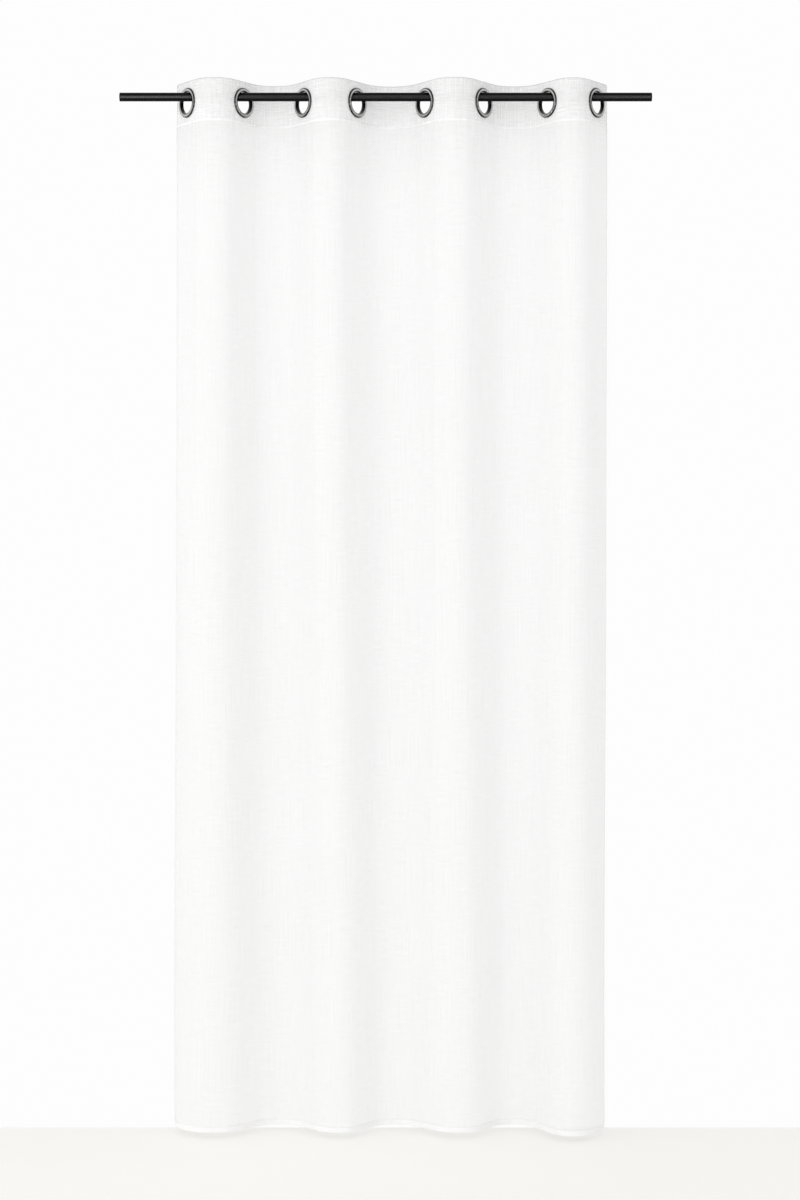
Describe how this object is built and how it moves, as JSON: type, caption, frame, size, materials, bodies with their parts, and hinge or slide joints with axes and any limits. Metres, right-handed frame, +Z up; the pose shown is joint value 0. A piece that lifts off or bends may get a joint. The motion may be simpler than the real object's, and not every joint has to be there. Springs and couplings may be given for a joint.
{
  "type": "sheer eyelet curtain on a curtain rod",
  "caption": "Long sheer curtain with a stiffened heading and round metal eyelets, hanging in soft uneven folds from a plain round curtain rod.",
  "frame": {"origin": "middle of the rod's axis, where its wall brackets would hold it", "axes": "+X along the rod, +Z up, +Y towards the wall; the room looks at the curtain from -Y"},
  "size_m": [1.22, 0.1526, 2.4],
  "materials": {
    "sheer_cloth": "fine plain-weave voile with slubs, slightly see-through, matt",
    "heading_cloth": "doubled cloth over a fine stiffening net, nearly opaque, matt",
    "eyelet_metal": "polished dark nickel",
    "rod_finish": "semi-gloss black"
  },
  "bodies": {
    "root": {"rod": "rod_finish", "curtain_panel": "sheer_cloth", "heading_tape": "heading_cloth", "eyelet_front_1": "eyelet_metal", "eyelet_front_2": "eyelet_metal", "eyelet_front_3": "eyelet_metal", "eyelet_front_4": "eyelet_metal", "eyelet_front_5": "eyelet_metal", "eyelet_front_6": "eyelet_metal", "eyelet_front_7": "eyelet_metal", "eyelet_front_8": "eyelet_metal", "eyelet_back_1": "eyelet_metal", "eyelet_back_2": "eyelet_metal", "eyelet_back_3": "eyelet_metal", "eyelet_back_4": "eyelet_metal", "eyelet_back_5": "eyelet_metal", "eyelet_back_6": "eyelet_metal", "eyelet_back_7": "eyelet_metal", "eyelet_back_8": "eyelet_metal"}
  },
  "joints": []
}
